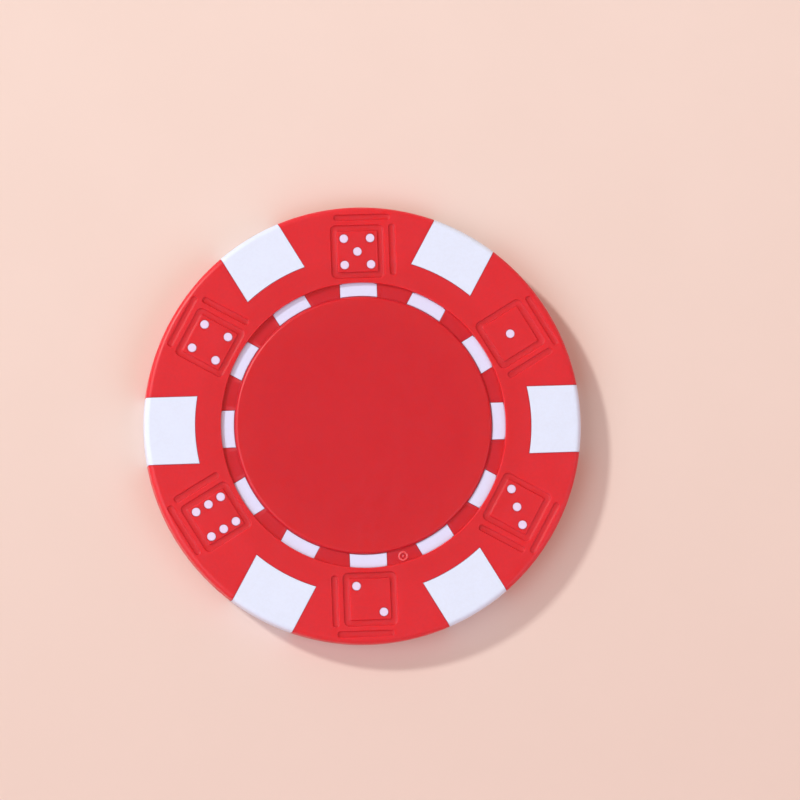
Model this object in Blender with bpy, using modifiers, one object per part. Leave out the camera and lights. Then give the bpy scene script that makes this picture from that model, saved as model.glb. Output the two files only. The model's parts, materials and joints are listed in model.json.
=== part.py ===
"""Ball marker: a two-shot moulded chip with a dice pattern round a steel slug.

The chip lies flat. +Z is up through its upper face, and +X runs through the middle
of an edge block. The origin is on the axis, at the face it rests on. Metres.

  steel_slug   plain disc that gives the chip its weight
  white_core   first shot, gripping the slug's rim; blocks, dashes and pips stand on it
  red_body     second shot, over both, with the relief of the two faces

The two faces are the same. The lower one is the upper one turned half a turn about X.
Heights below are from the chip's mid-plane; everything is lifted to rest on Z = 0.
"""

from math import asin, cos, hypot, pi, radians, sin

import bmesh
import bpy
from mathutils import Matrix, Vector

# ---------------------------------------------------------------- driving dimensions
CHIP_DIAMETER = 0.04018
CHIP_THICKNESS = 0.0033
RIM_ROUNDING = 0.0005           # rounded edge between face and side

CENTRE_RECESS = 0.00008         # the centre disc lies this far below the outer ring
MOAT_DEPTH = 0.00038            # and the moat round it this far
CENTRE_EDGE = 0.01162           # where the centre disc starts to fall away
MOAT_INNER = 0.01184            # foot of the centre disc's edge
MOAT_OUTER = 0.01308            # foot of the outer ring's inner wall
RING_EDGE = 0.01314             # top of that wall

SLUG_RADIUS = 0.0147
SLUG_THICKNESS = 0.0016
SLUG_CHAMFER = 0.00015

SECTORS = 6                     # edge blocks, and dice between them
BLOCK_WIDTH = 0.006154
BLOCK_INNER = 0.015475
DASHES = 12
DASH_LENGTH = 0.003386
DASH_INNER = 0.01189
DASH_ROOT = 0.01370             # under the outer ring, where a dash joins the core's lip
DASH_FOOT = 0.00086

LIP_INNER = 0.01335             # the core's lips hold the slug between them
LIP_OUTER = 0.0153
LIP_HEIGHT = 0.0012
WEB_OUTER = 0.0182              # thin web under the dice
WEB_HEIGHT = 0.0005

DIE_RADIUS = 0.01597            # from the chip's axis to a die's centre
DIE_INNER = 0.00186             # half-widths of the square groove round a die
DIE_OUTER = 0.00246
DIE_CORNER = 0.0005
DIE_DEPTH = 0.00018
PIP_RADIUS = 0.00039
PIP_SPACING = 0.001215          # from the die's centre line to an outer pip
SIX_SPACING = 0.001315
PIN_LOW_FOOT = 0.0003           # pips further out stand on the web
PIN_HIGH_FOOT = 0.0010          # and those further in on the lips

# Two straight grooves beside each die, which make it look like a thick block:
# (clockwise offset, outward offset, half length, half width, runs clockwise?)
BARS = (
    (0.00050, 0.00315, 0.00260, 0.000285, True),
    (0.00322, 0.00012, 0.00237, 0.00030, False),
)

# Face values of the dice, anticlockwise from the first one after +X
DIE_VALUES = (1, 5, 4, 6, 2, 3)
PIP_LAYOUTS = {
    1: ((0, 0),),
    2: ((1, -1), (-1, 1)),
    3: ((1, 1), (0, 0), (-1, -1)),
    4: ((1, 1), (1, -1), (-1, 1), (-1, -1)),
    5: ((1, 1), (1, -1), (-1, 1), (-1, -1), (0, 0)),
    6: ((1, 1), (1, 0), (1, -1), (-1, 1), (-1, 0), (-1, -1)),
}

GAP = 0.00003                   # between pieces that are moulded onto each other
PAST = 0.0004                   # how far a cutter runs past the surface it opens
WELD = 0.0000005
TURN_STEPS = 48
PIP_SIDES = 10
CORNER_STEPS = 2
RIM_STEPS = 2
END_ROUNDING = 0.9              # of a bar's half width, at its four corners
END_MARGIN = 0.6                # of a step, kept clear between an arc's end and its next point
SMOOTH_BELOW = radians(30)      # edges flatter than this are shaded smooth

# ---------------------------------------------------------------- derived sizes
CHIP_RADIUS = CHIP_DIAMETER / 2
HALF_CHIP = CHIP_THICKNESS / 2
HALF_SLUG = SLUG_THICKNESS / 2
CENTRE_LEVEL = HALF_CHIP - CENTRE_RECESS
MOAT_LEVEL = HALF_CHIP - MOAT_DEPTH
SECTOR_ANGLE = 2 * pi / SECTORS

# name: (red, green, blue, roughness, metallic)
FINISHES = {
    "steel_slug": (0.46, 0.46, 0.47, 0.35, 1.0),
    "white_core": (0.83, 0.84, 0.98, 0.32, 0.0),
    "red_body": (0.72, 0.04, 0.05, 0.34, 0.0),
}


# ---------------------------------------------------------------- scene helpers
def clear_scene():
    for obj in list(bpy.data.objects):
        bpy.data.objects.remove(obj, do_unlink=True)


def new_collection(name):
    collection = bpy.data.collections.new(name)
    bpy.context.scene.collection.children.link(collection)
    return collection


def add_object(name, data, collection):
    obj = bpy.data.objects.new(name, data)
    collection.objects.link(obj)
    return obj


def as_cutter(obj):
    obj.hide_render = True
    obj.display_type = "WIRE"
    return obj


def finish(obj, name):
    """Gives a piece its plastic or metal and smooth round faces."""
    red, green, blue, roughness, metallic = FINISHES[name]
    material = bpy.data.materials.new(name)
    material.use_nodes = True
    shader = material.node_tree.nodes["Principled BSDF"]
    shader.inputs["Base Color"].default_value = (red, green, blue, 1.0)
    shader.inputs["Roughness"].default_value = roughness
    shader.inputs["Metallic"].default_value = metallic
    obj.data.materials.append(material)
    obj.data.shade_smooth()
    obj.data.set_sharp_from_angle(angle=SMOOTH_BELOW)


# ---------------------------------------------------------------- shape helpers
def turned(name, profile, collection):
    """Turns (radius, height) points about Z. The profile runs down its outer side."""
    mesh = bpy.data.meshes.new(name)
    on_axis = profile[0][0] == 0.0
    count = len(profile)
    edges = [(i, i + 1) for i in range(count - 1)]
    if not on_axis:
        edges.append((count - 1, 0))
    mesh.from_pydata([(radius, 0.0, height) for radius, height in profile], edges, [])
    obj = add_object(name, mesh, collection)
    screw = obj.modifiers.new("turn", "SCREW")
    screw.axis = "Z"
    screw.angle = 2 * pi
    screw.steps = TURN_STEPS
    screw.render_steps = TURN_STEPS
    screw.use_merge_vertices = True
    screw.merge_threshold = WELD
    screw.use_normal_calculate = False
    return obj


def mirrored_profile(upper):
    """Closes a profile given for the upper half by its mirror image below."""
    return upper + [(radius, -height) for radius, height in reversed(upper)]


def extruded(name, outlines, bottom, top, collection):
    """Makes one mesh of flat closed outlines, standing from bottom to top."""
    curve = bpy.data.curves.new(name, "CURVE")
    curve.dimensions = "2D"
    curve.fill_mode = "BOTH"
    curve.extrude = (top - bottom) / 2
    for outline in outlines:
        spline = curve.splines.new("POLY")
        spline.points.add(len(outline) - 1)
        for point, (x, y) in zip(spline.points, outline):
            point.co = (x, y, 0.0, 1.0)
        spline.use_cyclic_u = True
    guide = add_object(name + "_outline", curve, collection)
    guide.location.z = (bottom + top) / 2
    bpy.context.view_layer.update()
    graph = bpy.context.evaluated_depsgraph_get()
    mesh = bpy.data.meshes.new_from_object(guide.evaluated_get(graph))
    mesh.transform(guide.matrix_world)
    bpy.data.objects.remove(guide, do_unlink=True)

    shape = bmesh.new()
    shape.from_mesh(mesh)
    bmesh.ops.remove_doubles(shape, verts=shape.verts, dist=WELD)
    bmesh.ops.recalc_face_normals(shape, faces=shape.faces)
    shape.to_mesh(mesh)
    shape.free()
    return add_object(name, mesh, collection)


def turned_over(obj, name, collection):
    """The same shape on the chip's other face."""
    mesh = obj.data.copy()
    mesh.transform(Matrix.Rotation(pi, 4, "X"))
    return add_object(name, mesh, collection)


def boolean(target, tool, operation):
    modifier = target.modifiers.new(operation.lower() + "_" + tool.name, "BOOLEAN")
    modifier.operation = operation
    modifier.solver = "EXACT"
    modifier.object = tool


# ---------------------------------------------------------------- outlines
def polar(radius, angle):
    return (radius * cos(angle), radius * sin(angle))


def rotated(points, angle):
    turn_cos, turn_sin = cos(angle), sin(angle)
    return [(x * turn_cos - y * turn_sin, x * turn_sin + y * turn_cos) for x, y in points]


def arc_at_width(radius, half_width):
    """Points of an arc about the axis, from one side of a strip along +X to the other.

    Between its ends the arc has its points halfway between those of the turned pieces,
    so that no corner of a cutter falls on an edge of the piece that it cuts.
    """
    reach = asin(half_width / radius)
    step = 2 * pi / TURN_STEPS
    steps = int(reach / step + 1 - END_MARGIN)
    between = [(i + 0.5) * step for i in range(-steps, steps)]
    return [polar(radius, angle) for angle in [-reach] + between + [reach]]


def strip(inner, outer, half_width):
    """A strip along +X with straight sides and round ends about the chip's axis."""
    return arc_at_width(outer, half_width) + arc_at_width(inner, half_width)[::-1]


def around(outline, count):
    return [rotated(outline, i * 2 * pi / count) for i in range(count)]


def rounded_rectangle(half_x, half_y, corner, centre=(0.0, 0.0)):
    points = []
    corners = ((1, 1, 0), (-1, 1, 1), (-1, -1, 2), (1, -1, 3))
    for side_x, side_y, quarter in corners:
        middle_x = centre[0] + side_x * (half_x - corner)
        middle_y = centre[1] + side_y * (half_y - corner)
        for i in range(CORNER_STEPS + 1):
            angle = (quarter + i / CORNER_STEPS) * pi / 2
            points.append((middle_x + corner * cos(angle), middle_y + corner * sin(angle)))
    return points


def rectangle(half):
    return [(half, half), (-half, half), (-half, -half), (half, -half)]


def on_die(index, clockwise, outward):
    """Places a point given in a die's own directions."""
    angle = (index + 0.5) * SECTOR_ANGLE
    return rotated([(DIE_RADIUS + outward, -clockwise)], angle)[0]


def die_outline(index, points):
    return [on_die(index, clockwise, outward) for clockwise, outward in points]


def pip_centres():
    """Centre of every pip of one face."""
    centres = []
    for index, value in enumerate(DIE_VALUES):
        spacing = SIX_SPACING if value == 6 else PIP_SPACING
        for clockwise, outward in PIP_LAYOUTS[value]:
            centres.append(on_die(index, clockwise * spacing, outward * spacing))
    return centres


def circle(centre, radius):
    """A pip's outline, turned so that none of its corners faces the chip's axis."""
    angles = [2 * pi * (i + 0.25) / PIP_SIDES for i in range(PIP_SIDES)]
    return [(centre[0] + radius * cos(a), centre[1] + radius * sin(a)) for a in angles]


# ---------------------------------------------------------------- the three pieces
def envelope_profile():
    """Outside of the whole chip, upper half, from the axis outwards."""
    rim = []
    for i in range(RIM_STEPS + 1):
        angle = i * pi / 2 / RIM_STEPS
        radius = CHIP_RADIUS - RIM_ROUNDING * (1 - sin(angle))
        height = HALF_CHIP - RIM_ROUNDING * (1 - cos(angle))
        rim.append((radius, height))
    edge_break = (RING_EDGE - MOAT_OUTER) / 2
    return [
        (0.0, CENTRE_LEVEL),
        (CENTRE_EDGE, CENTRE_LEVEL),
        (CENTRE_EDGE + edge_break, CENTRE_LEVEL - edge_break),
        (MOAT_INNER, MOAT_LEVEL),
        (MOAT_OUTER, MOAT_LEVEL),
        (MOAT_OUTER + edge_break, HALF_CHIP - edge_break),
        (RING_EDGE, HALF_CHIP),
    ] + rim


def cavity_profile(grow):
    """Room that the slug and the core's ring take inside the red body, upper half."""
    return [
        (0.0, HALF_SLUG + grow),
        (LIP_INNER - grow, HALF_SLUG + grow),
        (LIP_INNER - grow, LIP_HEIGHT + grow),
        (LIP_OUTER + grow, LIP_HEIGHT + grow),
        (LIP_OUTER + grow, WEB_HEIGHT + grow),
        (WEB_OUTER + grow, WEB_HEIGHT + grow),
    ]


def core_ring_profile():
    """Section of the core's ring: lips over and under the slug's rim, and the web."""
    upper = [
        (SLUG_RADIUS + GAP, HALF_SLUG + GAP),
        (LIP_INNER, HALF_SLUG + GAP),
        (LIP_INNER, LIP_HEIGHT),
        (LIP_OUTER, LIP_HEIGHT),
        (LIP_OUTER, WEB_HEIGHT),
        (WEB_OUTER, WEB_HEIGHT),
    ]
    return mirrored_profile(upper)


def slug_profile():
    upper = [
        (0.0, HALF_SLUG),
        (SLUG_RADIUS - SLUG_CHAMFER, HALF_SLUG),
        (SLUG_RADIUS, HALF_SLUG - SLUG_CHAMFER),
    ]
    return mirrored_profile(upper)


def both_faces(name, outlines, bottom, top, tools):
    upper = as_cutter(extruded(name + "_upper", outlines, bottom, top, tools))
    lower = as_cutter(turned_over(upper, name + "_lower", tools))
    return [upper, lower]


def dashes(name, grow, tools):
    """The dashes, level with the moat's floor, and their roots under the outer ring."""
    dash = strip(DASH_INNER - grow, DASH_ROOT + grow, DASH_LENGTH / 2 + grow)
    foot = DASH_FOOT - (PAST if grow else 0.0)
    return both_faces(name, around(dash, DASHES), foot, MOAT_LEVEL + grow, tools)


def pips(name, grow, top, tools):
    """The pips as pins, those near the slug standing on the lips, the rest on the web."""
    inner, outer = [], []
    for centre in pip_centres():
        on_lip = hypot(*centre) + PIP_RADIUS < LIP_OUTER
        (inner if on_lip else outer).append(circle(centre, PIP_RADIUS + grow))
    pieces = both_faces(name + "_inner", inner, PIN_HIGH_FOOT, top, tools)
    return pieces + both_faces(name + "_outer", outer, PIN_LOW_FOOT, top, tools)


def edge_blocks(name, grow, tools):
    outline = strip(BLOCK_INNER - grow, CHIP_RADIUS + PAST, BLOCK_WIDTH / 2 + grow)
    reach = HALF_CHIP + PAST
    return as_cutter(extruded(name, around(outline, SECTORS), -reach, reach, tools))


def die_grooves(tools):
    """The square groove round each die and the two bars beside it."""
    outlines = []
    for index in range(SECTORS):
        square = rounded_rectangle(DIE_OUTER, DIE_OUTER, DIE_CORNER)
        outlines.append(die_outline(index, square))
        outlines.append(die_outline(index, rectangle(DIE_INNER)))
        for clockwise, outward, half_length, half_width, runs_clockwise in BARS:
            halves = (half_length, half_width) if runs_clockwise else (half_width, half_length)
            bar = rounded_rectangle(*halves, half_width * END_ROUNDING, (clockwise, outward))
            outlines.append(die_outline(index, bar))
    return both_faces("grooves", outlines, HALF_CHIP - DIE_DEPTH, HALF_CHIP + PAST, tools)


def make_slug(parts):
    slug = turned("steel_slug", slug_profile(), parts)
    finish(slug, "steel_slug")
    return slug


def make_core(parts, tools, envelope):
    core = turned("white_core", core_ring_profile(), parts)
    blocks = edge_blocks("core_blocks", 0.0, tools)
    boolean(blocks, envelope, "INTERSECT")
    boolean(core, blocks, "UNION")
    pieces = dashes("core_dashes", 0.0, tools) + pips("core_pips", 0.0, HALF_CHIP, tools)
    for piece in pieces:
        boolean(core, piece, "UNION")
    finish(core, "white_core")
    return core


def make_body(parts, tools):
    body = turned("red_body", mirrored_profile(envelope_profile()), parts)
    cavity = as_cutter(turned("cavity", mirrored_profile(cavity_profile(GAP)), tools))
    cutters = [cavity, edge_blocks("block_room", GAP, tools)]
    cutters += dashes("dash_room", GAP, tools)
    cutters += pips("pip_room", GAP, HALF_CHIP + PAST, tools)
    cutters += die_grooves(tools)
    for cutter in cutters:
        boolean(body, cutter, "DIFFERENCE")
    finish(body, "red_body")
    return body


def main():
    clear_scene()
    parts = new_collection("ball_marker")
    tools = new_collection("cutters")
    envelope = as_cutter(turned("envelope", mirrored_profile(envelope_profile()), tools))
    pieces = [make_slug(parts), make_core(parts, tools, envelope), make_body(parts, tools)]
    marker = add_object("marker", None, parts)
    marker.location = Vector((0.0, 0.0, HALF_CHIP))
    for obj in pieces + list(tools.objects):
        obj.parent = marker


main()
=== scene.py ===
"""Looks of the ball marker: fine meshes, materials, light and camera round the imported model.

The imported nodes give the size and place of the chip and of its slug, and the other sizes
repeat or refine the part's. The red and white plastics are rebuilt here with rounded edges,
soft grooves and a fine joint between the colours, and stand in for their CAD nodes; the
steel slug stays as packed. Lengths are in metres. Plan positions are seen from above, and
heights are from the chip's mid-plane. The lower face is the upper one turned half a turn
about X.
"""
import json
from math import asin, cos, hypot, pi, radians, sin

import bpy
import numpy as np
from mathutils import Matrix, Vector
from mathutils.geometry import delaunay_2d_cdt
from mathutils.kdtree import KDTree


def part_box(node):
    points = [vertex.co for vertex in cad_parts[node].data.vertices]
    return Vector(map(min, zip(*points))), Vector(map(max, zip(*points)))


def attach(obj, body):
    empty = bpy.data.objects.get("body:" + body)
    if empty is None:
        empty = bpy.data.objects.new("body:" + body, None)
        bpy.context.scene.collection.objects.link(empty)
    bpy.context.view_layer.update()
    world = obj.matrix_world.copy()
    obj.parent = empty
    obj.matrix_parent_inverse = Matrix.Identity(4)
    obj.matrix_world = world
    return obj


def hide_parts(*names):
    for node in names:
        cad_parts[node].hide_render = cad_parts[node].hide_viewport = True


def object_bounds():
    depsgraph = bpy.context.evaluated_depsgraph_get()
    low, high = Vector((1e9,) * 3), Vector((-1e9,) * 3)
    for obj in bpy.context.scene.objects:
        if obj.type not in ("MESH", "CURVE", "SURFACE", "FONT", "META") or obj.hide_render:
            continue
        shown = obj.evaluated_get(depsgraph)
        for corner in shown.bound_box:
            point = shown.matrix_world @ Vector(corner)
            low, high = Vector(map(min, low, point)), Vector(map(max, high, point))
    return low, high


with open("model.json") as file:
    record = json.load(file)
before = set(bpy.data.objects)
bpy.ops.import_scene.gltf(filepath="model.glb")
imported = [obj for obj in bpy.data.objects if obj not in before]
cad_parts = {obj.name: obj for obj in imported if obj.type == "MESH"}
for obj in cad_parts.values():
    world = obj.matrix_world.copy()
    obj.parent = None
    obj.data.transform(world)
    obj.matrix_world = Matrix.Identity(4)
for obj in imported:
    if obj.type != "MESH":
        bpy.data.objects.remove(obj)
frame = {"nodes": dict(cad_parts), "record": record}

CAD_LOW, CAD_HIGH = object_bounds()
MOUNTS = {mount["name"]: Vector(mount["pos_m"]) for mount in frame["record"]["mounts"]}

# ---------------------------------------------------------------- sizes
CHIP_RADIUS = (CAD_HIGH.x - CAD_LOW.x) / 2
HALF_CHIP = (CAD_HIGH.z - CAD_LOW.z) / 2
MIDDLE = (CAD_HIGH.z + CAD_LOW.z) / 2
SLUG_LOW, SLUG_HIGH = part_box("steel_slug")
SLUG_RADIUS = (SLUG_HIGH.x - SLUG_LOW.x) / 2
HALF_SLUG = (SLUG_HIGH.z - SLUG_LOW.z) / 2
CENTRE_LEVEL = MOUNTS["label_seat_upper"].z - MIDDLE

RIM_ROUNDING = 0.0005
MOAT_DEPTH = 0.00038
MOAT_LEVEL = HALF_CHIP - MOAT_DEPTH
CENTRE_EDGE = 0.01154           # the centre disc rounds over from here
MOAT_INNER = 0.01184            # to the moat's floor here
MOAT_OUTER = 0.01308            # and the outer ring's inner wall rises from here
RING_EDGE = 0.01315             # and rounds over to the ring's face here

SECTORS = 6
BLOCK_HALF = 0.003077
BLOCK_INNER = 0.015475
DASHES = 12
DASH_HALF = 0.001693
DASH_INNER = 0.01189
DASH_OUTER = 0.013075

DIE_RADIUS = 0.01597
DIE_INNER = 0.00186
DIE_INNER_CORNER = 0.00012
DIE_OUTER = 0.00246
DIE_OUTER_CORNER = 0.00050
GROOVE_DEPTH = 0.00018
GROOVE_WALL = 0.00013
LIP_ROUNDING = 0.00003
PIP_RADIUS = 0.00039
PIP_SPACING = 0.001215
SIX_SPACING = 0.001315
DIE_VALUES = (1, 5, 4, 6, 2, 3)
PIP_LAYOUTS = {
    1: ((0, 0),),
    2: ((1, -1), (-1, 1)),
    3: ((1, 1), (0, 0), (-1, -1)),
    4: ((1, 1), (1, -1), (-1, 1), (-1, -1)),
    5: ((1, 1), (1, -1), (-1, 1), (-1, -1), (0, 0)),
    6: ((1, 1), (1, 0), (1, -1), (-1, 1), (-1, 0), (-1, -1)),
}
GATE_RADIUS = 0.01255           # where the red was let into the mould: a low ring round a dot
GATE_ANGLE = radians(284.8)
GATE_RING = 0.00037
GATE_WIDTH = 0.00011
GATE_HEIGHT = 0.00013
GATE_STEPS = (0.25, 0.5, 0.75, 1.0)

# Bars beside a die: clockwise and outward offset, then half size in those directions
BARS = ((0.00050, 0.00315, 0.00260, 0.000285), (0.00322, 0.00012, 0.00030, 0.00237))

JOINT = 0.00003                 # open line between the two plastics
JOINT_ROUNDING = 0.000035       # their edges along it
JOINT_STEPS = (0.0, 0.134, 0.5, 1.0, 2.0)
GUARD = 0.00003                 # flat margin that keeps a slope's shading off flat faces

# Hidden inside: the core's ring round the slug, and how deep the white pieces reach
CLEARANCE = 0.00003
LIP_INNER = 0.01335
LIP_OUTER = 0.0153
LIP_HEIGHT = 0.0012
WEB_OUTER = 0.0182
WEB_HEIGHT = 0.0005
DASH_FOOT = 0.00086
PIN_LOW_FOOT = 0.0003
PIN_HIGH_FOOT = 0.0010
PIN_MARGIN = PIP_RADIUS / 4     # a pip that stands on the lip may reach this far past it
ROOT_INNER = 0.0129
ROOT_OUTER = 0.0137
ROOT_HALF = DASH_HALF - 0.0002
ROOT_LOW = 0.0009
ROOT_HIGH = 0.00125
POCKET_EXTRA = 0.00015          # pockets in the red go this much deeper, into its cavity

CIRCLE_STEPS = 216
RIM_POINTS = CIRCLE_STEPS / 2   # only the chip's rim has more points than this
HIDDEN_STEPS = 96
PIP_STEPS = 28
WALL_STEPS = 6
LIP_STEPS = 3
ROUNDING_STEPS = 8
ARC_STEPS = 12
CORNER_STEPS = 7
RIM_STEPS = 8
SNAP = 0.00000001               # points of the plan this close together are one
AT_RIM = SNAP * 100             # and those this close to the chip's radius are on its rim
SHARP_ABOVE = radians(50)       # edges steeper than this aren't shaded smooth

# Rows of the side wall, as height and how far it stands out: a fine parting line
PARTING_ROWS = ((0.0009, 0.0), (0.00004, 0.0), (0.0, 0.000012), (-0.00004, 0.0), (-0.0009, 0.0))


# ---------------------------------------------------------------- plan of one face
def polar(radius, angle):
    return (radius * cos(angle), radius * sin(angle))


def rotated(points, angle):
    turn_cos, turn_sin = cos(angle), sin(angle)
    return [(x * turn_cos - y * turn_sin, x * turn_sin + y * turn_cos) for x, y in points]


def arc(radius, half_width):
    """An arc about the chip's axis, as wide as a strip along +X."""
    reach = asin(half_width / radius)
    return [polar(radius, reach * (2 * i / ARC_STEPS - 1)) for i in range(ARC_STEPS + 1)]


def strip(inner, outer, half_width):
    return arc(outer, half_width) + arc(inner, half_width)[::-1]


def circle(centre, radius, steps):
    angles = [2 * pi * i / steps for i in range(steps)]
    return [(centre[0] + radius * cos(a), centre[1] + radius * sin(a)) for a in angles]


def rounded_rectangle(centre, half_x, half_y, corner):
    points = []
    for quarter, (side_x, side_y) in enumerate(((1, 1), (-1, 1), (-1, -1), (1, -1))):
        middle = (centre[0] + side_x * (half_x - corner), centre[1] + side_y * (half_y - corner))
        for i in range(CORNER_STEPS + 1):
            angle = (quarter + i / CORNER_STEPS) * pi / 2
            points.append((middle[0] + corner * cos(angle), middle[1] + corner * sin(angle)))
    return points


def on_die(index, points):
    """Points given as (clockwise, outward) from a die's centre, placed on the chip."""
    angle = (index + 0.5) * 2 * pi / SECTORS
    return rotated([(DIE_RADIUS + outward, -clockwise) for clockwise, outward in points], angle)


def pip_centres():
    centres = []
    for index, value in enumerate(DIE_VALUES):
        spacing = SIX_SPACING if value == 6 else PIP_SPACING
        offsets = [(u * spacing, v * spacing) for u, v in PIP_LAYOUTS[value]]
        centres += on_die(index, offsets)
    return centres


def groove_offsets():
    """Where a groove's lip and wall need a line of points, from outside the lip inwards."""
    lip = [-LIP_ROUNDING * (1 - sin(pi / 2 * i / LIP_STEPS)) for i in range(LIP_STEPS)]
    wall = [GROOVE_WALL * (1 - cos(pi / 2 * i / WALL_STEPS)) for i in range(WALL_STEPS)]
    return [-LIP_ROUNDING - GUARD] + lip + wall


def rounding_radii(start, end):
    """Rings of points for an edge that rounds over from start to a steep end."""
    turns = [sin(pi / 2 * i / ROUNDING_STEPS) for i in range(ROUNDING_STEPS + 1)]
    guard = GUARD if end > start else -GUARD
    return [start - guard] + [start + (end - start) * turn for turn in turns] + [end + guard]


def joint_offsets():
    """Lines beside a white piece's outline. Inside is negative, and True marks an edge."""
    steps = [step * JOINT_ROUNDING for step in JOINT_STEPS]
    white = [(-step, step == 0.0) for step in steps]
    return white + [(JOINT + step, step == 0.0) for step in steps]


class Plan:
    """Points and lines of one face. Barriers are lines that part one piece from another."""

    def __init__(self):
        self.points, self.lines, self.barriers = [], [], set()

    def add(self, points, closed=True, barrier=False):
        first, count = len(self.points), len(points)
        self.points += [Vector(p) for p in points]
        for i in range(count if closed else count - 1):
            if barrier:
                self.barriers.add(len(self.lines))
            self.lines.append((first + i, first + (i + 1) % count))


def face_plan():
    plan = Plan()
    radii = rounding_radii(CENTRE_EDGE, MOAT_INNER) + rounding_radii(RING_EDGE, MOAT_OUTER)
    rim_start = CHIP_RADIUS - RIM_ROUNDING
    radii += [rim_start - GUARD]
    radii += [rim_start + RIM_ROUNDING * sin(pi / 2 * i / RIM_STEPS) for i in range(RIM_STEPS)]
    for radius in radii:
        plan.add(circle((0, 0), radius, CIRCLE_STEPS))

    rim_angles = [2 * pi * i / CIRCLE_STEPS for i in range(CIRCLE_STEPS)]
    for offset, edge in joint_offsets():
        half = BLOCK_HALF + offset
        reach = asin(half / CHIP_RADIUS)
        inner = arc(BLOCK_INNER - offset, half)
        path = [polar(CHIP_RADIUS, -reach)] + inner + [polar(CHIP_RADIUS, reach)]
        for index in range(SECTORS):
            turn = index * 2 * pi / SECTORS
            rim_angles += [(turn - reach) % (2 * pi), (turn + reach) % (2 * pi)]
            plan.add(rotated(path, turn), closed=False, barrier=edge)
        dash = strip(DASH_INNER - offset, DASH_OUTER + offset, DASH_HALF + offset)
        for index in range(DASHES):
            plan.add(rotated(dash, index * 2 * pi / DASHES), barrier=edge)
        for centre in pip_centres():
            plan.add(circle(centre, PIP_RADIUS + offset, PIP_STEPS), barrier=edge)
    plan.add([polar(CHIP_RADIUS, angle) for angle in sorted(rim_angles)], barrier=True)

    gate = polar(GATE_RADIUS, GATE_ANGLE)
    slopes = [GATE_WIDTH * share for share in GATE_STEPS] + [GATE_WIDTH + GUARD]
    ring_sides = [GATE_RING + side * offset for side in (-1, 1) for offset in slopes]
    for radius in slopes + ring_sides + [GATE_RING]:
        plan.add(circle(gate, radius, PIP_STEPS))

    for index in range(SECTORS):
        for offset in groove_offsets():
            half, corner = DIE_OUTER - offset, DIE_OUTER_CORNER - offset
            plan.add(on_die(index, rounded_rectangle((0, 0), half, half, corner)))
            half, corner = DIE_INNER + offset, DIE_INNER_CORNER + offset
            plan.add(on_die(index, rounded_rectangle((0, 0), half, half, corner)))
            for across, out, half_u, half_v in BARS:
                corner = min(half_u, half_v) - offset - GUARD
                outline = ((across, out), half_u - offset, half_v - offset, corner)
                plan.add(on_die(index, rounded_rectangle(*outline)))
    return plan


# ---------------------------------------------------------------- relief of one face
def ease(share):
    """A smooth rise from 0 to 1."""
    share = np.clip(share, 0.0, 1.0)
    return share * share * (3.0 - 2.0 * share)


def rounded_over(radius, start, end, drop):
    """How far an edge has fallen, on a quarter of an ellipse from start to end."""
    part = np.clip((radius - start) / (end - start), 0.0, 1.0)
    return drop * (1.0 - np.sqrt(1.0 - part * part))


def turned_height(radius):
    """Height of the turned shape: centre disc, moat, outer ring and rounded rim."""
    disc = CENTRE_LEVEL - rounded_over(radius, CENTRE_EDGE, MOAT_INNER, CENTRE_LEVEL - MOAT_LEVEL)
    ring = HALF_CHIP - rounded_over(radius, RING_EDGE, MOAT_OUTER, HALF_CHIP - MOAT_LEVEL)
    height = np.where(radius < (MOAT_INNER + MOAT_OUTER) / 2, disc, ring)
    over = np.clip(radius - (CHIP_RADIUS - RIM_ROUNDING), 0.0, RIM_ROUNDING)
    return height - RIM_ROUNDING + np.sqrt(RIM_ROUNDING ** 2 - over ** 2)


def box_distance(u, v, half_u, half_v, corner):
    """Distance to a rounded rectangle's outline, negative inside."""
    out_u = np.abs(u) - (half_u - corner)
    out_v = np.abs(v) - (half_v - corner)
    outside = np.hypot(np.maximum(out_u, 0.0), np.maximum(out_v, 0.0))
    return outside + np.minimum(np.maximum(out_u, out_v), 0.0) - corner


def channel_depth(within):
    """Depth at a distance in from a groove's lip: a rounded lip, then a quarter ellipse."""
    before = np.clip(LIP_ROUNDING + within, 0.0, LIP_ROUNDING)
    lip = LIP_ROUNDING - np.sqrt(LIP_ROUNDING ** 2 - before ** 2)
    left = 1.0 - np.clip(within / GROOVE_WALL, 0.0, 1.0)
    return lip + (GROOVE_DEPTH - LIP_ROUNDING) * np.sqrt(1.0 - left * left)


def groove_depth(x, y):
    """Depth of the square groove round each die and of the bars beside it."""
    depth = np.zeros_like(x)
    for index in range(SECTORS):
        angle = (index + 0.5) * 2 * pi / SECTORS
        out = x * cos(angle) + y * sin(angle) - DIE_RADIUS
        across = x * sin(angle) - y * cos(angle)
        outer = box_distance(across, out, DIE_OUTER, DIE_OUTER, DIE_OUTER_CORNER)
        inner = box_distance(across, out, DIE_INNER, DIE_INNER, DIE_INNER_CORNER)
        within = np.minimum(-outer, inner)
        for bar_u, bar_v, half_u, half_v in BARS:
            corner = min(half_u, half_v) - GUARD
            bar = box_distance(across - bar_u, out - bar_v, half_u, half_v, corner)
            within = np.maximum(within, -bar)
        depth = np.maximum(depth, channel_depth(within))
    return depth


def strip_distance(x, y, count, inner, outer, half):
    """Distance to the nearest of the strips set round the axis, negative inside."""
    sector = 2 * pi / count
    angle = np.arctan2(y, x)
    angle = angle - sector * np.round(angle / sector)
    radius = np.hypot(x, y)
    side = np.abs(radius * np.sin(angle)) - half
    return np.maximum(side, np.maximum(inner - radius, radius - outer))


def block_distance(x, y):
    """Distance to the nearest edge block, which has no outline at the rim."""
    return strip_distance(x, y, SECTORS, BLOCK_INNER, 2 * CHIP_RADIUS, BLOCK_HALF)


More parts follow.
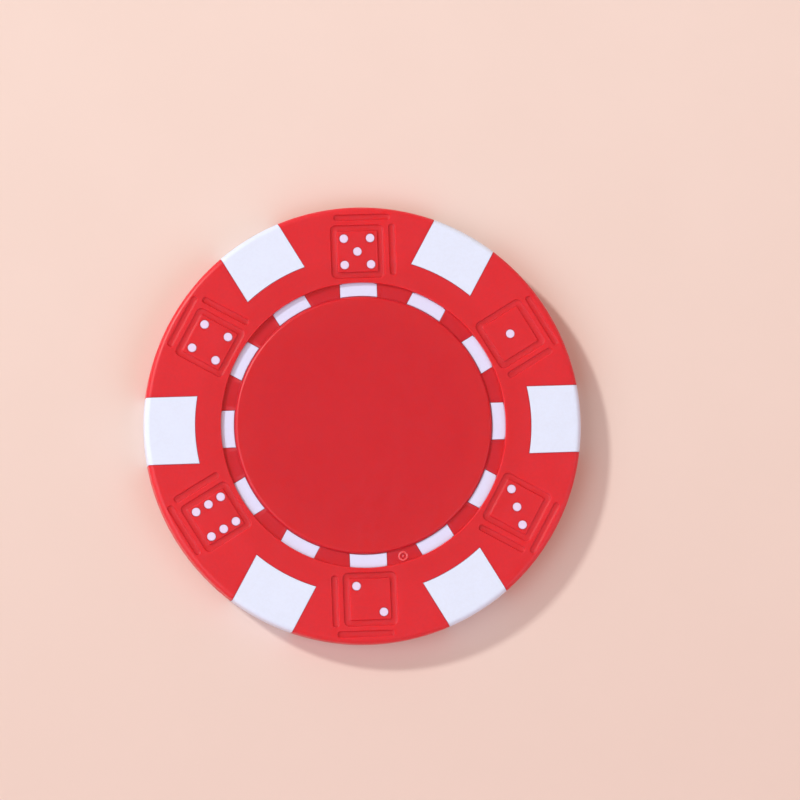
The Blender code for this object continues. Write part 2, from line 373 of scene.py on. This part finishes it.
def joint_distance(x, y):
    """Distance to the outline of the nearest white piece, negative inside it."""
    dashes = strip_distance(x, y, DASHES, DASH_INNER, DASH_OUTER, DASH_HALF)
    nearest = np.minimum(block_distance(x, y), dashes)
    for centre in pip_centres():
        nearest = np.minimum(nearest, np.hypot(x - centre[0], y - centre[1]) - PIP_RADIUS)
    return nearest


def relief(x, y):
    """Height of the chip's upper face over the mid-plane."""
    joint = joint_distance(x, y)
    from_edge = np.clip(np.where(joint < JOINT / 2, -joint, joint - JOINT), 0.0, JOINT_ROUNDING)
    left = JOINT_ROUNDING - from_edge
    rounding = JOINT_ROUNDING - np.sqrt(JOINT_ROUNDING ** 2 - left ** 2)
    gate = polar(GATE_RADIUS, GATE_ANGLE)
    from_dot = np.hypot(x - gate[0], y - gate[1])
    from_mark = np.minimum(from_dot, np.abs(from_dot - GATE_RING))
    mark = GATE_HEIGHT * ease(1.0 - from_mark / GATE_WIDTH)
    return turned_height(np.hypot(x, y)) - groove_depth(x, y) - rounding + mark


# ---------------------------------------------------------------- from plan to sheets
class Face:
    """The triangulated upper face, parted into pieces along the barriers."""

    def __init__(self, plan):
        found = delaunay_2d_cdt(plan.points, plan.lines, [], 0, SNAP)
        points, edges, triangles, _, sources, _ = found
        self.x = np.array([p.x for p in points])
        self.y = np.array([p.y for p in points])
        self.z = relief(self.x, self.y)
        walls = set()
        for edge, source in zip(edges, sources):
            if not plan.barriers.isdisjoint(source):
                walls.add(frozenset(edge))
        self.sheets = self.part([tuple(t) for t in triangles], walls)

    def part(self, triangles, walls):
        """Groups triangles that can be reached from each other without crossing a wall."""
        sides = {}
        for index, triangle in enumerate(triangles):
            for i in range(3):
                side = frozenset((triangle[i], triangle[(i + 1) % 3]))
                sides.setdefault(side, []).append(index)
        sheets, seen = [], set()
        for start in range(len(triangles)):
            if start in seen:
                continue
            seen.add(start)
            sheet, queue = [], [start]
            while queue:
                index = queue.pop()
                sheet.append(triangles[index])
                for i in range(3):
                    side = frozenset((triangles[index][i], triangles[index][(i + 1) % 3]))
                    for other in sides[side]:
                        if side not in walls and other not in seen:
                            seen.add(other)
                            queue.append(other)
            sheets.append(sheet)
        return sheets

    def middle(self, sheet):
        """A point well inside a sheet: the middle of its largest triangle."""
        corners = np.array(sheet)
        x, y = self.x[corners], self.y[corners]
        area = (x[:, 1] - x[:, 0]) * (y[:, 2] - y[:, 0]) - (x[:, 2] - x[:, 0]) * (y[:, 1] - y[:, 0])
        largest = int(np.argmax(np.abs(area)))
        return x[largest].mean(keepdims=True), y[largest].mean(keepdims=True)

    def sorted_sheets(self):
        """The sheets by the piece that they belong to: red, block, dash or pip."""
        kinds = {"red": [], "block": [], "dash": [], "pip": []}
        for sheet in self.sheets:
            x, y = self.middle(sheet)
            radius = float(np.hypot(x, y)[0])
            joint = joint_distance(x, y)[0]
            if radius > CHIP_RADIUS or 0.0 <= joint <= JOINT:
                continue
            if joint > JOINT:
                kinds["red"].append(sheet)
            elif block_distance(x, y)[0] < 0:
                kinds["block"].append(sheet)
            else:
                kinds["dash" if radius < RING_EDGE else "pip"].append(sheet)
        return kinds


class Solid:
    """Collects sheets of both faces and the walls that close them."""

    def __init__(self):
        self.points, self.faces = [], []

    def place(self, point):
        self.points.append(point)
        return len(self.points) - 1

    def sheet(self, face, triangles, side):
        """Adds a sheet of the upper face (side 1) or of the lower one (side -1)."""
        used = sorted({corner for triangle in triangles for corner in triangle})
        index = {}
        for corner in used:
            x, y, z = float(face.x[corner]), float(face.y[corner]), float(face.z[corner])
            index[corner] = self.place((x, side * y, side * z))
        sides = {}
        for a, b, c in triangles:
            ax, ay, bx, by = face.x[a], face.y[a], face.x[b], face.y[b]
            turn = (bx - ax) * (face.y[c] - ay) - (face.x[c] - ax) * (by - ay)
            corners = (a, b, c) if turn > 0 else (a, c, b)
            self.faces.append([index[corner] for corner in corners])
            for i in range(3):
                edge = (index[corners[i]], index[corners[(i + 1) % 3]])
                if (edge[1], edge[0]) in sides:
                    del sides[(edge[1], edge[0])]
                else:
                    sides[edge] = True
        return dict(sides.keys())

    def loops(self, border):
        """Closed runs of a border given as {from: to}."""
        left, found = dict(border), []
        while left:
            start = next(iter(left))
            loop, at = [start], left.pop(start)
            while at != start:
                loop.append(at)
                at = left.pop(at)
            found.append(loop)
        return found

    def plug(self, loop, foot, side):
        """Walls from a border loop to a flat end at a height."""
        ends = [self.place((*self.points[i][:2], side * foot)) for i in loop]
        count = len(loop)
        for i in range(count):
            j = (i + 1) % count
            self.faces.append([loop[j], loop[i], ends[i], ends[j]])
        self.faces.append(ends[::-1])

    def join(self, loop, others, rows):
        """Walls down from a border loop of the upper face to the same line of the lower."""
        tree = KDTree(len(others))
        for i in others:
            tree.insert(Vector((*self.points[i][:2], 0.0)), i)
        tree.balance()
        columns = []
        for i in loop:
            x, y, top = self.points[i]
            at_rim = hypot(x, y) > CHIP_RADIUS - AT_RIM
            column = [i]
            for height, proud in rows:
                scale = 1 + proud / CHIP_RADIUS if at_rim else 1.0
                column.append(self.place((x * scale, y * scale, height)))
            column.append(tree.find(Vector((x, y, 0.0)))[1])
            columns.append(column)
        for left, right in zip(columns, columns[1:] + columns[:1]):
            for k in range(len(left) - 1):
                self.faces.append([right[k], left[k], left[k + 1], right[k + 1]])

    def build(self, name):
        mesh = bpy.data.meshes.new(name)
        mesh.from_pydata([(x, y, z + MIDDLE) for x, y, z in self.points], [], self.faces)
        mesh.validate()
        obj = bpy.data.objects.new(name, mesh)
        bpy.context.scene.collection.objects.link(obj)
        return obj


def pin_foot(solid, loop):
    """A pip near the slug stands on the core's lip, and one further out on its web."""
    reach = max(hypot(*solid.points[i][:2]) for i in loop)
    return PIN_HIGH_FOOT if reach < LIP_OUTER + PIN_MARGIN else PIN_LOW_FOOT


def loop_radius(solid, loop):
    points = np.array([solid.points[i][:2] for i in loop])
    return float(np.hypot(*points.mean(axis=0)))


def turned(name, upper):
    """A closed body of revolution from the upper half of its section."""
    profile = upper + [(radius, -height) for radius, height in reversed(upper)]
    solid = Solid()
    rings = []
    for radius, height in profile:
        if radius == 0.0:
            rings.append([solid.place((0.0, 0.0, height))] * HIDDEN_STEPS)
            continue
        angles = [2 * pi * (i + 0.5) / HIDDEN_STEPS for i in range(HIDDEN_STEPS)]
        rings.append([solid.place((*polar(radius, angle), height)) for angle in angles])
    if profile[0][0] > 0.0:
        rings.append(rings[0])
    for first, second in zip(rings, rings[1:]):
        for i in range(HIDDEN_STEPS):
            j = (i + 1) % HIDDEN_STEPS
            corners = [first[i], second[i], second[j], first[j]]
            solid.faces.append([c for k, c in enumerate(corners) if c != corners[k - 1]])
    return solid.build(name)


def dash_roots(name, grow):
    """The parts of the dashes that reach under the outer ring, on both faces."""
    solid = Solid()
    outline = strip(ROOT_INNER - grow, ROOT_OUTER + grow, ROOT_HALF + grow)
    for index in range(DASHES):
        for side in (1, -1):
            ring = rotated(outline, index * 2 * pi / DASHES)
            low = [solid.place((x, side * y, side * (ROOT_LOW - grow))) for x, y in ring]
            high = [solid.place((x, side * y, side * (ROOT_HIGH + grow))) for x, y in ring]
            for i in range(len(ring)):
                j = (i + 1) % len(ring)
                solid.faces.append([low[i], low[j], high[j], high[i]])
            solid.faces += [low[::-1], high]
    return solid.build(name)


def cavity_section(grow):
    """Room for the slug and the core's ring inside the red body."""
    return [
        (0.0, HALF_SLUG + grow),
        (LIP_INNER - grow, HALF_SLUG + grow),
        (LIP_INNER - grow, LIP_HEIGHT + grow),
        (LIP_OUTER + grow, LIP_HEIGHT + grow),
        (LIP_OUTER + grow, WEB_HEIGHT + grow),
        (WEB_OUTER + grow, WEB_HEIGHT + grow),
    ]


def ring_section():
    """The core's ring: lips over and under the slug's rim, and a web outside them."""
    return [
        (SLUG_RADIUS + CLEARANCE, HALF_SLUG + CLEARANCE),
        (LIP_INNER, HALF_SLUG + CLEARANCE),
        (LIP_INNER, LIP_HEIGHT),
        (LIP_OUTER, LIP_HEIGHT),
        (LIP_OUTER, WEB_HEIGHT),
        (WEB_OUTER, WEB_HEIGHT),
    ]


def combined(obj, operation, tools):
    """Joins the tools to a piece or cuts them from it, and clears them away."""
    for tool in tools:
        modifier = obj.modifiers.new(tool.name, "BOOLEAN")
        modifier.operation = operation
        modifier.solver = "EXACT"
        modifier.object = tool
    graph = bpy.context.evaluated_depsgraph_get()
    mesh = bpy.data.meshes.new_from_object(obj.evaluated_get(graph))
    obj.modifiers.clear()
    obj.data = mesh
    for tool in tools:
        bpy.data.objects.remove(tool)
    return obj


def make_red(face, kinds):
    solid = Solid()
    upper = [solid.sheet(face, sheet, 1) for sheet in kinds["red"]]
    lower = [solid.sheet(face, sheet, -1) for sheet in kinds["red"]]
    rims = {}
    for side, borders in ((1, upper), (-1, lower)):
        for border in borders:
            for loop in solid.loops(border):
                if len(loop) > RIM_POINTS:
                    rims[side] = loop
                elif loop_radius(solid, loop) < RING_EDGE:
                    solid.plug(loop, HALF_SLUG - POCKET_EXTRA, side)
                else:
                    solid.plug(loop, pin_foot(solid, loop) - POCKET_EXTRA, side)
    solid.join(rims[1], rims[-1], PARTING_ROWS)
    room = [turned("cavity", cavity_section(CLEARANCE)), dash_roots("root_room", CLEARANCE)]
    return combined(solid.build("red_plastic"), "DIFFERENCE", room)


def make_white(face, kinds):
    solid = Solid()
    for sheet in kinds["dash"]:
        for side in (1, -1):
            for loop in solid.loops(solid.sheet(face, sheet, side)):
                solid.plug(loop, DASH_FOOT, side)
    for sheet in kinds["pip"]:
        for side in (1, -1):
            for loop in solid.loops(solid.sheet(face, sheet, side)):
                solid.plug(loop, pin_foot(solid, loop), side)
    upper, lower = [], []
    for sheet in kinds["block"]:
        upper += solid.loops(solid.sheet(face, sheet, 1))
        for loop in solid.loops(solid.sheet(face, sheet, -1)):
            lower += loop
    for loop in upper:
        solid.join(loop, lower, PARTING_ROWS)
    ring = [dash_roots("roots", 0.0), turned("ring", ring_section())]
    return combined(solid.build("white_plastic"), "UNION", ring)


# ---------------------------------------------------------------- materials
MIX_FIRST, MIX_SECOND, MIX_RESULT = 6, 7, 2     # colour sockets of a mix node


class Nodes:
    """A new material's node tree, with short ways to add and join nodes."""

    def __init__(self, name):
        self.material = bpy.data.materials.new(name)
        self.material.use_nodes = True
        self.tree = self.material.node_tree
        self.shader = self.tree.nodes["Principled BSDF"]
        coordinates = self.tree.nodes.new("ShaderNodeTexCoord")
        self.place = coordinates.outputs["Object"]

    def join(self, source, target):
        self.tree.links.new(source, target)

    def fill(self, socket, value):
        if isinstance(value, bpy.types.NodeSocket):
            self.join(value, socket)
        else:
            socket.default_value = value

    def noise(self, size, detail=2.0, roughness=0.5, stretch=None):
        """Noise with lumps of about the given size in metres, from 0 to 1."""
        node = self.tree.nodes.new("ShaderNodeTexNoise")
        node.inputs["Scale"].default_value = 1 / size
        node.inputs["Detail"].default_value = detail
        node.inputs["Roughness"].default_value = roughness
        place = self.place
        if stretch is not None:
            mapping = self.tree.nodes.new("ShaderNodeMapping")
            mapping.inputs["Scale"].default_value = stretch
            self.join(self.place, mapping.inputs["Vector"])
            place = mapping.outputs["Vector"]
        self.join(place, node.inputs["Vector"])
        return node.outputs["Fac"]

    def math(self, operation, first, second=0.0):
        node = self.tree.nodes.new("ShaderNodeMath")
        node.operation = operation
        self.fill(node.inputs[0], first)
        self.fill(node.inputs[1], second)
        return node.outputs[0]

    def ramp(self, value, low, high, out_low=0.0, out_high=1.0):
        """Maps low..high to out_low..out_high smoothly, and no further."""
        node = self.tree.nodes.new("ShaderNodeMapRange")
        node.interpolation_type = "SMOOTHSTEP"
        for socket, number in zip(node.inputs[1:5], (low, high, out_low, out_high)):
            socket.default_value = number
        self.join(value, node.inputs["Value"])
        return node.outputs["Result"]

    def mix(self, share, first, second):
        node = self.tree.nodes.new("ShaderNodeMix")
        node.data_type = "RGBA"
        self.fill(node.inputs["Factor"], share)
        self.fill(node.inputs[MIX_FIRST], first)
        self.fill(node.inputs[MIX_SECOND], second)
        return node.outputs[MIX_RESULT]

    def bump(self, height, distance, strength, below=None):
        node = self.tree.nodes.new("ShaderNodeBump")
        node.inputs["Distance"].default_value = distance
        node.inputs["Strength"].default_value = strength
        self.join(height, node.inputs["Height"])
        if below is not None:
            self.join(below, node.inputs["Normal"])
        return node.outputs["Normal"]

    def radius(self):
        """Distance from the chip's axis."""
        flat = self.tree.nodes.new("ShaderNodeVectorMath")
        flat.operation = "MULTIPLY"
        flat.inputs[1].default_value = (1.0, 1.0, 0.0)
        self.join(self.place, flat.inputs[0])
        length = self.tree.nodes.new("ShaderNodeVectorMath")
        length.operation = "LENGTH"
        self.join(flat.outputs["Vector"], length.inputs[0])
        return length.outputs["Value"]

    def gate_highlight_mask(self):
        """1 where something stands on the moat's floor, and 0 elsewhere: where the gate mark's
        painted highlight goes.
        """
        parts = self.tree.nodes.new("ShaderNodeSeparateXYZ")
        self.join(self.place, parts.inputs[0])
        height = self.math("ABSOLUTE", self.math("SUBTRACT", parts.outputs["Z"], MIDDLE))
        raised = self.ramp(height, MOAT_LEVEL, MOAT_LEVEL + GATE_HEIGHT / 3)
        past_disc = self.ramp(self.radius(), MOAT_INNER, MOAT_INNER + GUARD)
        past_moat = self.ramp(self.radius(), MOAT_OUTER - GUARD * 2, MOAT_OUTER - GUARD)
        in_moat = self.math("SUBTRACT", past_disc, past_moat)
        return self.math("MULTIPLY", raised, in_moat)

    def block_side(self):
        """1 in the sectors of the edge blocks and 0 in those of the dice."""
        parts = self.tree.nodes.new("ShaderNodeSeparateXYZ")
        self.join(self.place, parts.inputs[0])
        angle = self.math("ARCTAN2", parts.outputs["Y"], parts.outputs["X"])
        wave = self.math("COSINE", self.math("MULTIPLY", angle, float(SECTORS)))
        return self.ramp(wave, *SECTOR_SHADE)


def colour(red_value, green_value, blue_value):
    return (red_value, green_value, blue_value, 1.0)


RING_RED = colour(0.730, 0.0205, 0.0365)
BAND_RED = colour(0.697, 0.0185, 0.0325)
INNER_RED = colour(0.632, 0.0122, 0.0270)
DISC_EDGE_RED = colour(0.652, 0.0150, 0.0280)
MOAT_RED = colour(0.630, 0.0128, 0.0300)
GATE_HIGHLIGHT_RED = colour(0.850, 0.1500, 0.1750)    # painted highlight: the mark's steep glossy facets catch the lamps
WALL_GLOW_RED = colour(0.700, 0.0135, 0.0270)  # painted light: brighter red where light through the walls' plastic comes out
CLOUD_RED = colour(0.740, 0.0240, 0.0340)
SPECK_RED = colour(0.480, 0.0320, 0.0480)
CORE_WHITE = colour(0.741, 0.800, 1.000)
THIN_RED_LIT_WHITE = colour(0.737, 0.732, 1.000)    # painted light: pinker where the white is thin and red light gets in
PIP_RED_LIT_WHITE = colour(0.800, 0.640, 0.900)     # painted light: pinker still in the thin pins, where more of it gets in
DULL_WHITE = colour(0.60, 0.60, 0.70)
FAR_LIT_PEACH = colour(0.834, 0.655, 0.605)     # painted light falloff: the paper is painted a little paler away from the viewer
NEAR_DIM_PEACH = colour(0.782, 0.590, 0.540)
DULL_PEACH = colour(0.740, 0.560, 0.500)
DARK_STEEL = colour(0.40, 0.40, 0.41)
PALE_STEEL = colour(0.52, 0.52, 0.53)

# Distances from the axis at which the plastics change shade
DISC_SHADE = 0.0085             # the disc's edge starts to differ from its middle
WALL_GLOW_START = 0.0126           # where the painted glow in the moat's outer corner starts
BAND_SHADE = (0.0142, 0.0158)   # the band beside the moat from the rest of the ring
THIN_SHADE = (0.0134, 0.0140)   # the dashes from the blocks and pips
PAPER_FALLOFF = 0.05              # and the paper's painted light falloff from near to far, over twice this length
SECTOR_SHADE = (-0.3, 0.1)      # a wave with its crests at the blocks: pips below, blocks above

RED_CLOUD_SIZE = 0.0016
WHITE_CLOUD_SIZE = 0.0018
SPECK_SIZE = 0.00026
GRAIN_SIZE = 0.00016
SWELL_SIZE = 0.0021
SHEEN_SIZE = 0.0009
BRUSH_SIZE = 0.0004
FIBRE_SIZE = 0.0005
PATCH_SIZE = 0.012
RED_SPREAD = (1.0, 0.12, 0.12)  # red light goes further through the plastic
RED_DEPTH = 0.0005


def moulded_surface(nodes, roughness):
    """Spark-eroded grain and slight unevenness of a moulded face, and its uneven sheen."""
    grain = nodes.noise(GRAIN_SIZE, detail=2.0)
    swell = nodes.noise(SWELL_SIZE, detail=1.0)
    normal = nodes.bump(swell, 0.00002, 0.25)
    normal = nodes.bump(grain, 0.000012, 0.6, below=normal)
    nodes.join(normal, nodes.shader.inputs["Normal"])
    uneven = nodes.noise(SHEEN_SIZE, detail=3.0)
    sheen = nodes.ramp(uneven, 0.3, 0.7, roughness - 0.03, roughness + 0.04)
    nodes.join(sheen, nodes.shader.inputs["Roughness"])
    nodes.shader.inputs["Specular IOR Level"].default_value = 0.4


def translucent(nodes, spread, scale):
    """Light enters the plastic and spreads a little before it leaves."""
    nodes.shader.inputs["Subsurface Weight"].default_value = 1.0
    nodes.shader.inputs["Subsurface Radius"].default_value = spread
    nodes.shader.inputs["Subsurface Scale"].default_value = scale


def red_plastic():
    nodes = Nodes("red_plastic")
    disc = nodes.mix(nodes.ramp(nodes.radius(), DISC_SHADE, CENTRE_EDGE), INNER_RED, DISC_EDGE_RED)
    inner = nodes.mix(nodes.ramp(nodes.radius(), CENTRE_EDGE, MOAT_INNER), disc, MOAT_RED)
    # painted light: the moat's outer corner is painted a brighter red, a glow for light let through
    # the wall's plastic
    inner = nodes.mix(nodes.ramp(nodes.radius(), WALL_GLOW_START, MOAT_OUTER), inner, WALL_GLOW_RED)
    outer = nodes.mix(nodes.ramp(nodes.radius(), *BAND_SHADE), BAND_RED, RING_RED)
    shade = nodes.mix(nodes.ramp(nodes.radius(), MOAT_OUTER, RING_EDGE), inner, outer)
    cloud = nodes.noise(RED_CLOUD_SIZE, detail=4.0, roughness=0.6)
    shade = nodes.mix(nodes.ramp(cloud, 0.35, 0.65, 0.0, 0.07), shade, CLOUD_RED)
    speck = nodes.noise(SPECK_SIZE, detail=1.0)
    shade = nodes.mix(nodes.ramp(speck, 0.3, 0.7, 0.0, 0.12), shade, SPECK_RED)
    # painted highlight: the gate mark is painted paler where its facets catch the lamps
    shade = nodes.mix(nodes.gate_highlight_mask(), shade, GATE_HIGHLIGHT_RED)
    nodes.join(shade, nodes.shader.inputs["Base Color"])
    moulded_surface(nodes, 0.38)
    translucent(nodes, RED_SPREAD, RED_DEPTH)
    return nodes.material


def white_plastic():
    nodes = Nodes("white_plastic")
    # painted light: pips and dashes are painted pinker for red light that gets into the thin white
    outer = nodes.mix(nodes.block_side(), PIP_RED_LIT_WHITE, CORE_WHITE)
    shade = nodes.mix(nodes.ramp(nodes.radius(), *THIN_SHADE), THIN_RED_LIT_WHITE, outer)
    cloud = nodes.noise(WHITE_CLOUD_SIZE, detail=4.0, roughness=0.6)
    shade = nodes.mix(nodes.ramp(cloud, 0.35, 0.65, 0.0, 0.06), shade, DULL_WHITE)
    speck = nodes.noise(SPECK_SIZE, detail=1.0)
    shade = nodes.mix(nodes.ramp(speck, 0.3, 0.7, 0.0, 0.08), shade, DULL_WHITE)
    nodes.join(shade, nodes.shader.inputs["Base Color"])
    moulded_surface(nodes, 0.34)
    return nodes.material


def slug_steel():
    nodes = Nodes("slug_steel")
    brushed = nodes.noise(BRUSH_SIZE, detail=4.0, stretch=(1.0, 14.0, 1.0))
    nodes.join(nodes.ramp(brushed, 0.3, 0.7, 0.28, 0.46), nodes.shader.inputs["Roughness"])
    shade = nodes.mix(brushed, DARK_STEEL, PALE_STEEL)
    nodes.join(shade, nodes.shader.inputs["Base Color"])
    nodes.shader.inputs["Metallic"].default_value = 1.0
    nodes.join(nodes.bump(brushed, 0.00001, 0.2), nodes.shader.inputs["Normal"])
    return nodes.material


def paper():
    nodes = Nodes("pale_paper")
    fibre = nodes.noise(FIBRE_SIZE, detail=4.0)
    parts = nodes.tree.nodes.new("ShaderNodeSeparateXYZ")
    nodes.join(nodes.place, parts.inputs[0])
    # painted light: the paper brightens away from the viewer, a painted stand-in for the lamps'
    # falloff
    far = nodes.ramp(parts.outputs["Y"], -PAPER_FALLOFF, PAPER_FALLOFF)
    patch = nodes.ramp(nodes.noise(PATCH_SIZE, detail=3.0), 0.3, 0.7, 0.0, 0.1)
    shade = nodes.mix(patch, nodes.mix(far, NEAR_DIM_PEACH, FAR_LIT_PEACH), DULL_PEACH)
    nodes.join(shade, nodes.shader.inputs["Base Color"])
    nodes.join(nodes.bump(fibre, 0.00001, 0.2), nodes.shader.inputs["Normal"])
    nodes.shader.inputs["Roughness"].default_value = 0.9
    nodes.shader.inputs["Specular IOR Level"].default_value = 0.1
    return nodes.material


# ---------------------------------------------------------------- pieces
def dress(obj, material, node):
    obj.data.materials.clear()
    obj.data.materials.append(material)
    obj.data.shade_smooth()
    obj.data.set_sharp_from_angle(angle=SHARP_ABOVE)
    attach(obj, "root")
    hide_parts(node)


face = Face(face_plan())
kinds = face.sorted_sheets()
dress(make_red(face, kinds), red_plastic(), "red_body")
dress(make_white(face, kinds), white_plastic(), "white_core")
slug = frame["nodes"]["steel_slug"]
slug.data.materials.clear()
slug.data.materials.append(slug_steel())


# ---------------------------------------------------------------- stage, light and camera
FLOOR_FLAT = 0.9
FLOOR_CURVE = 0.4
WALL_TOP = 0.6
FLOOR_STEPS = 96
CURVE_STEPS = 12

# A small key lamp, a cool window and a weak lamp across from them
# name: (azimuth, elevation, distance, size, watts, tint)
LAMPS = {
    "key": (141.0, 38.5, 1.1, 0.09, 6.8, (0.915, 1.0, 0.95)),
    "window": (195.0, 50.0, 1.3, 1.0, 7.9, (0.695, 0.83, 1.0)),
    "far_lamp": (330.0, 45.0, 1.3, 0.8, 3.6, (0.875, 0.71, 1.0)),
}
ROOM_TINT = (1.0, 0.825, 0.525, 1.0)
ROOM_STRENGTH = 0.425


def make_floor():
    """A round paper sweep: flat under the chip, curving up far behind it on every side."""
    profile = [(FLOOR_FLAT, 0.0)]
    for i in range(1, CURVE_STEPS + 1):
        angle = i / CURVE_STEPS * pi / 2
        profile.append((FLOOR_FLAT + FLOOR_CURVE * sin(angle), FLOOR_CURVE * (1 - cos(angle))))
    profile.append((FLOOR_FLAT + FLOOR_CURVE, WALL_TOP))
    points, faces = [(0.0, 0.0, 0.0)], []
    angles = [2 * pi * i / FLOOR_STEPS for i in range(FLOOR_STEPS)]
    for radius, height in profile:
        points += [(*polar(radius, angle), height) for angle in angles]
    for i in range(FLOOR_STEPS):
        j = (i + 1) % FLOOR_STEPS
        faces.append((0, 1 + i, 1 + j))
        for row in range(len(profile) - 1):
            low, high = 1 + row * FLOOR_STEPS, 1 + (row + 1) * FLOOR_STEPS
            faces.append((low + i, high + i, high + j, low + j))
    mesh = bpy.data.meshes.new("floor")
    mesh.from_pydata(points, [], faces)
    mesh.shade_smooth()
    mesh.materials.append(paper())
    floor = bpy.data.objects.new("floor", mesh)
    bpy.context.scene.collection.objects.link(floor)


def softbox(name, azimuth, elevation, distance, size, watts, tint):
    """A square lamp that faces the chip from a direction seen from above."""
    data = bpy.data.lights.new(name, "AREA")
    data.size = size
    data.energy = watts
    data.color = tint
    lamp = bpy.data.objects.new(name, data)
    a, e = radians(azimuth), radians(elevation)
    away = Vector((cos(a) * cos(e), sin(a) * cos(e), sin(e)))
    lamp.location = away * distance
    lamp.rotation_euler = away.to_track_quat("Z", "Y").to_euler()
    bpy.context.scene.collection.objects.link(lamp)


def make_light():
    """The lamps, and the weak light of a warm room."""
    for name, settings in LAMPS.items():
        softbox(name, *settings)
    world = bpy.data.worlds.new("room")
    world.use_nodes = True
    background = world.node_tree.nodes["Background"]
    background.inputs["Color"].default_value = ROOM_TINT
    background.inputs["Strength"].default_value = ROOM_STRENGTH
    bpy.context.scene.world = world


CAMERA_LENS = 212.93
CAMERA_DISTANCE = 0.4340
CAMERA_TILT = 7.00              # from straight above
CAMERA_AZIMUTH = 218.0         # direction in which it leans away from the axis
CAMERA_ROLL = -2.150
AIM = Vector((0.003406, 0.002172, 2 * HALF_CHIP))


def make_camera():
    data = bpy.data.cameras.new("camera")
    data.lens = CAMERA_LENS
    tilt, azimuth, roll = radians(CAMERA_TILT), radians(CAMERA_AZIMUTH), radians(CAMERA_ROLL)
    back = Vector((sin(tilt) * cos(azimuth), sin(tilt) * sin(azimuth), cos(tilt)))
    right = Vector((-sin(roll), cos(roll), 0.0)).cross(back).normalized()
    camera = bpy.data.objects.new("camera", data)
    camera.matrix_world = Matrix((right, back.cross(right), back)).transposed().to_4x4()
    camera.location = AIM + back * CAMERA_DISTANCE
    bpy.context.scene.collection.objects.link(camera)
    bpy.context.scene.camera = camera


make_floor()
make_light()
make_camera()
bpy.context.scene.view_settings.view_transform = "Standard"
